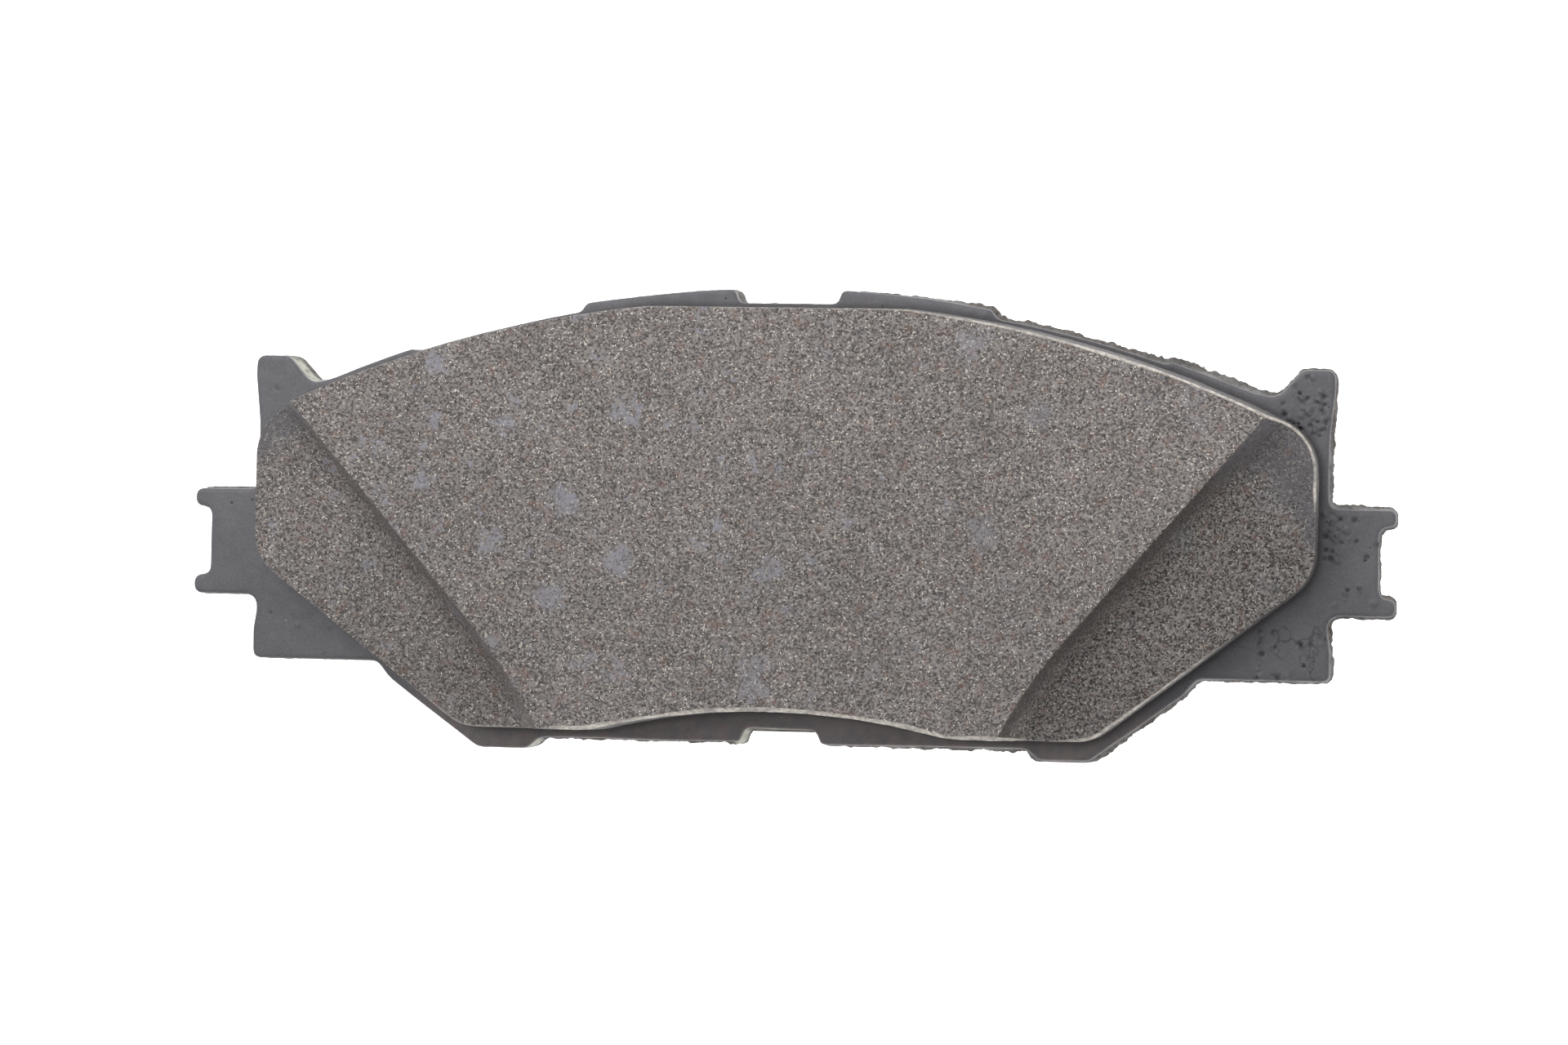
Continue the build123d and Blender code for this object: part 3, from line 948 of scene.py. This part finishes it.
def friction_material():
    """Pressed friction material: ground on its face, coarser on the ends, coated on walls and corners. It
    carries painted shade beside the ridges, on the walls and on the ends, painted light and shade that make
    it lighter towards the top, and a painted highlight along the block's upper edge.
    """
    look = Look("friction material")
    ground = look.mark("ground")
    colour, height = grains(look, ground)
    colour = tinted(look, colour)
    drift = look.between(look.noise(11.0, detail=3.0), 0.3, 0.7, 0.94, 1.05)
    streaks = look.noise(1.0, detail=2.0, place=look.stretched((14.0, 0.3, 5.0)))
    drift = look.math("MULTIPLY", drift, look.between(streaks, 0.3, 0.7, 0.97, 1.03))
    place = look.add("SeparateXYZ", {0: look.place})
    # painted light and shade: the face lighter towards the top, darker towards the bottom
    drift = look.math("MULTIPLY", drift, look.between(place.outputs[1], -25.0, 25.0, 0.93, 1.08))
    # painted shade: the ends, slopes and walls darker towards the right and towards the bottom
    end_tone = look.between(place.outputs[0], -40.0, 55.0, 0.94, 0.72)
    end_tone = look.math("MULTIPLY", end_tone, look.between(place.outputs[1], -26.0, -4.0, 0.9, 1.0))
    drift = look.math("MULTIPLY", drift, look.mix_value(ground, end_tone, 1.0))
    dim = look.add("CombineColor", {0: drift, 1: drift, 2: drift}).outputs[0]
    colour = look.mix(1.0, colour, dim, "MULTIPLY")
    # painted shade beside the ridges
    colour = look.mix(look.math("MULTIPLY", look.mark("slope"), 0.78), colour, shade(62, 56, 54))
    wall = look.mark("wall")
    thin = look.between(look.noise(0.5, detail=4.0), 0.34, 0.6, 1.0, 0.4)
    paint = look.math("MULTIPLY", look.mark("paint"), thin)
    colour = look.mix(paint, colour, coat_colour(look))
    # painted shade: the block's walls darkened
    colour = look.mix(look.math("MULTIPLY", wall, 0.55), colour, shade(56, 53, 52))
    # painted highlight: a pale band along the block's upper edge
    dusty = look.between(look.noise(0.6, detail=3.0), 0.3, 0.7)
    dusty = look.mix(dusty, shade(160, 154, 148), shade(216, 209, 200))
    colour = look.mix(look.math("MULTIPLY", look.mark("lip"), 0.9), colour, dusty)
    depth = look.math("MULTIPLY", height, look.between(ground, 0.0, 1.0, 1.0, 0.5))
    normal = look.bump(depth, 0.07, 0.6)
    roughness = look.math("SUBTRACT", 0.88, look.math("MULTIPLY", paint, 0.3))
    return look.finish(colour, roughness, normal, specular=0.3)


def underlayer_material():
    """The softer insulating mix under the friction material."""
    look = Look("underlayer material")
    tone = look.noise(0.5, detail=4.0, roughness=0.7)
    colour = look.mix(look.between(tone, 0.3, 0.7), shade(84, 79, 74), shade(128, 121, 113))
    colour = look.mix(look.spots(0.5, 0.2, 0.3), colour, shade(165, 157, 142))
    dust = look.between(look.noise(1.3, detail=4.0), 0.4, 0.6, 0.2, 0.8)
    colour = look.mix(dust, colour, SLATE)
    normal = look.bump(tone, 0.15, 0.7)
    return look.finish(colour, look.between(tone, 0.3, 0.7, 0.75, 0.9), normal, specular=0.3)


def bond_film():
    """The dark cured glue line between the plate and the block."""
    look = Look("bond film")
    tone = look.noise(1.2, detail=4.0)
    colour = look.mix(look.between(tone, 0.3, 0.7), shade(38, 34, 32), shade(64, 57, 52))
    roughness = look.between(tone, 0.3, 0.7, 0.5, 0.7)
    return look.finish(colour, roughness, look.bump(tone, 0.05, 0.5), specular=0.4)


def shim_rubber():
    """Black rubber coating with a fine matt texture and faint rub marks."""
    look = Look("shim rubber")
    fine = look.noise(0.3, detail=3.0, roughness=0.6)
    colour = look.mix(look.between(fine, 0.3, 0.7), shade(30, 30, 32), shade(47, 47, 49))
    rubbed = look.noise(1.0, detail=3.0, place=look.stretched((18.0, 1.6, 4.0), 0.3))
    colour = look.mix(look.between(rubbed, 0.6, 0.8, 0.0, 0.4), colour, shade(84, 83, 83))
    roughness = look.between(rubbed, 0.4, 0.8, 0.72, 0.55)
    return look.finish(colour, roughness, look.bump(fine, 0.03, 0.6), specular=0.4)


def shim_steel():
    """Cold-rolled steel, brushed along its length and dulled at its cut edge."""
    look = Look("shim steel")
    brush = look.noise(1.0, detail=3.0, place=look.stretched((6.0, 0.2, 0.08)))
    colour = look.mix(look.between(brush, 0.3, 0.7), shade(150, 148, 146), shade(196, 194, 192))
    tarnish = look.between(look.noise(1.6, detail=4.0), 0.5, 0.75, 0.0, 0.6)
    colour = look.mix(tarnish, colour, shade(112, 98, 86))
    roughness = look.between(look.noise(1.1, detail=3.0), 0.3, 0.7, 0.3, 0.5)
    return look.finish(colour, roughness, look.bump(brush, 0.02, 0.4), metallic=1.0)


def shim_glue():
    """Grey acrylic glue, slightly uneven where it meets the edge."""
    look = Look("shim glue")
    tone = look.noise(0.8, detail=3.0)
    colour = look.mix(look.between(tone, 0.3, 0.7), shade(120, 116, 104), shade(158, 152, 136))
    roughness = look.between(tone, 0.3, 0.7, 0.35, 0.55)
    return look.finish(colour, roughness, look.bump(tone, 0.03, 0.4), specular=0.5)


# The table, the lights and the camera

TABLE_SIZE = 3.0
TABLE_GLOW = 1.1
SKY_LIGHT = 0.53
KEY_PLACE = Vector((-0.25, 0.42, 0.85))
KEY_SIZE = 0.9
KEY_POWER = 5.9
CAMERA_PLACE = Vector((0.066, 0.0035, PLATE_FRONT * MM + 0.3755))
CAMERA_TILT = math.radians(6.0)
CAMERA_ROLL = math.radians(1.04)
LENS = 71.0


def white_table():
    """A glowing white table, as bright as a light table, that shows almost no shadow."""
    look = Look("white table")
    tone = look.noise(40.0, detail=2.0)
    colour = look.mix(tone, shade(240, 240, 240), shade(246, 246, 246))
    look.shader.inputs["Emission Color"].default_value = (1, 1, 1, 1)
    look.shader.inputs["Emission Strength"].default_value = TABLE_GLOW
    material = look.finish(colour, 0.9, look.bump(tone, 0.1, 0.1), specular=0.1)
    mesh = bpy.data.meshes.new("table")
    half = TABLE_SIZE / 2
    corners = [(-half, -half, 0), (half, -half, 0), (half, half, 0), (-half, half, 0)]
    mesh.from_pydata(corners, [], [(0, 1, 2, 3)])
    mesh.materials.append(material)
    table = bpy.data.objects.new("table", mesh)
    bpy.context.collection.objects.link(table)


def studio():
    """Even light from all round, and a wide soft light behind the pad's top edge and to its left."""
    world = bpy.data.worlds.new("studio")
    world.use_nodes = True
    background = world.node_tree.nodes["Background"]
    background.inputs["Color"].default_value = (1.0, 1.0, 1.0, 1.0)
    background.inputs["Strength"].default_value = SKY_LIGHT
    bpy.context.scene.world = world
    key = bpy.data.lights.new("key", "AREA")
    key.size = KEY_SIZE
    key.energy = KEY_POWER
    lamp = bpy.data.objects.new("key", key)
    lamp.location = KEY_PLACE
    lamp.rotation_euler = (-KEY_PLACE).to_track_quat("-Z", "Y").to_euler()
    bpy.context.collection.objects.link(lamp)
    bpy.context.scene.view_settings.view_transform = "Standard"


def photographer():
    """A camera looking almost straight down, with its frame shifted to centre the pad."""
    data = bpy.data.cameras.new("camera")
    data.lens = LENS
    camera = bpy.data.objects.new("camera", data)
    ahead = Vector((-math.sin(CAMERA_TILT), 0, -math.cos(CAMERA_TILT)))
    rough_up = Vector((-math.sin(CAMERA_ROLL), math.cos(CAMERA_ROLL), 0))
    right = ahead.cross(rough_up).normalized()
    up = right.cross(ahead)
    camera.matrix_world = Matrix.Translation(CAMERA_PLACE) @ Matrix((right, up, -ahead)).transposed().to_4x4()
    middle = Vector((0, 0, PLATE_FRONT * MM)) - CAMERA_PLACE
    scale = LENS / data.sensor_width / middle.dot(ahead)
    data.shift_x = middle.dot(right) * scale
    data.shift_y = middle.dot(up) * scale
    bpy.context.collection.objects.link(camera)
    bpy.context.scene.camera = camera


photographer()
studio()
white_table()

backing_plate(powder_coat())
friction_block(friction_material())
underlayer(underlayer_material())
glue = shim_glue()
rubber = shim_rubber()
steel = shim_steel()
for name, node, slot, look, seed, inset, wave, soft_edge in (
    ("bond_line", "bond_layer", "bond_film", bond_film(), 11, 0.12, 0.03, 0.0),
    ("shim_glue_film", "shim_adhesive", "shim_glue", glue, 12, 0.10, 0.06, 0.02),
    ("shim_inner_coat", "shim_inner_rubber", "shim_rubber", rubber, 13, 0.02, 0.02, 0.03),
    ("shim_steel_sheet", "shim_steel_core", "shim_steel", steel, 14, 0.0, 0.015, 0.06),
    ("shim_outer_coat", "shim_outer_rubber", "shim_rubber", rubber, 15, 0.02, 0.02, 0.03),
):
    sheet(name, node, look, seed, inset, wave, soft_edge)
